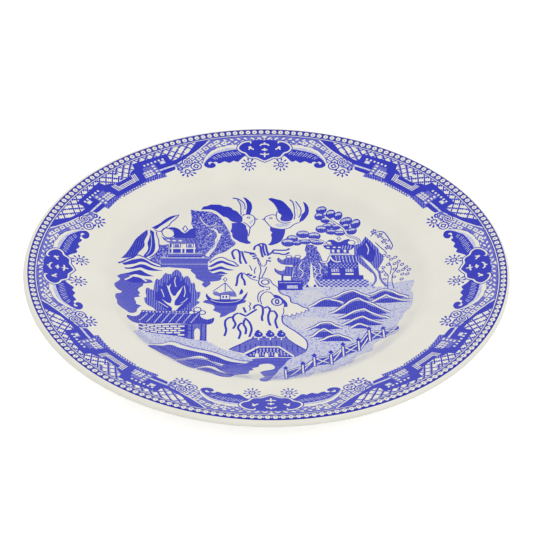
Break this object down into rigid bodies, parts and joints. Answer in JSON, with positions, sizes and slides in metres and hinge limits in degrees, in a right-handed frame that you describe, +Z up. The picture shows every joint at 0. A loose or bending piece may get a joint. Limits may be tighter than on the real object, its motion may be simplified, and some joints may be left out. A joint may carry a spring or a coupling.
{
  "type": "dinner plate",
  "caption": "Round china dinner plate with a deep well, a sloping rim, a thick rolled edge and a ring foot, printed in blue under a clear glaze.",
  "frame": {"origin": "centre of the foot ring's standing plane, on the table", "axes": "+Z up along the plate's axis; the printed scene's sky is towards +Y and its fence is towards +X, so a person facing +Y from -Y sees the scene upright"},
  "size_m": [0.2666, 0.2666, 0.026],
  "materials": {
    "fired_clay": "matt bare clay, seen only on the ring it stands on",
    "glaze": "clear glossy glaze over warm white clay",
    "scene_print": "cobalt blue transfer print under gloss glaze, engraved lines and stipple with bare ground between",
    "border_print": "cobalt blue transfer print under gloss glaze, dense geometric and floral border",
    "edge_print": "cobalt blue transfer print under gloss glaze, a row of pale beads"
  },
  "bodies": {
    "root": {"body": "fired_clay", "face_glaze": "glaze", "recess_glaze": "glaze", "centre_print": "scene_print", "border_print": "border_print", "edge_print": "edge_print"}
  },
  "joints": []
}
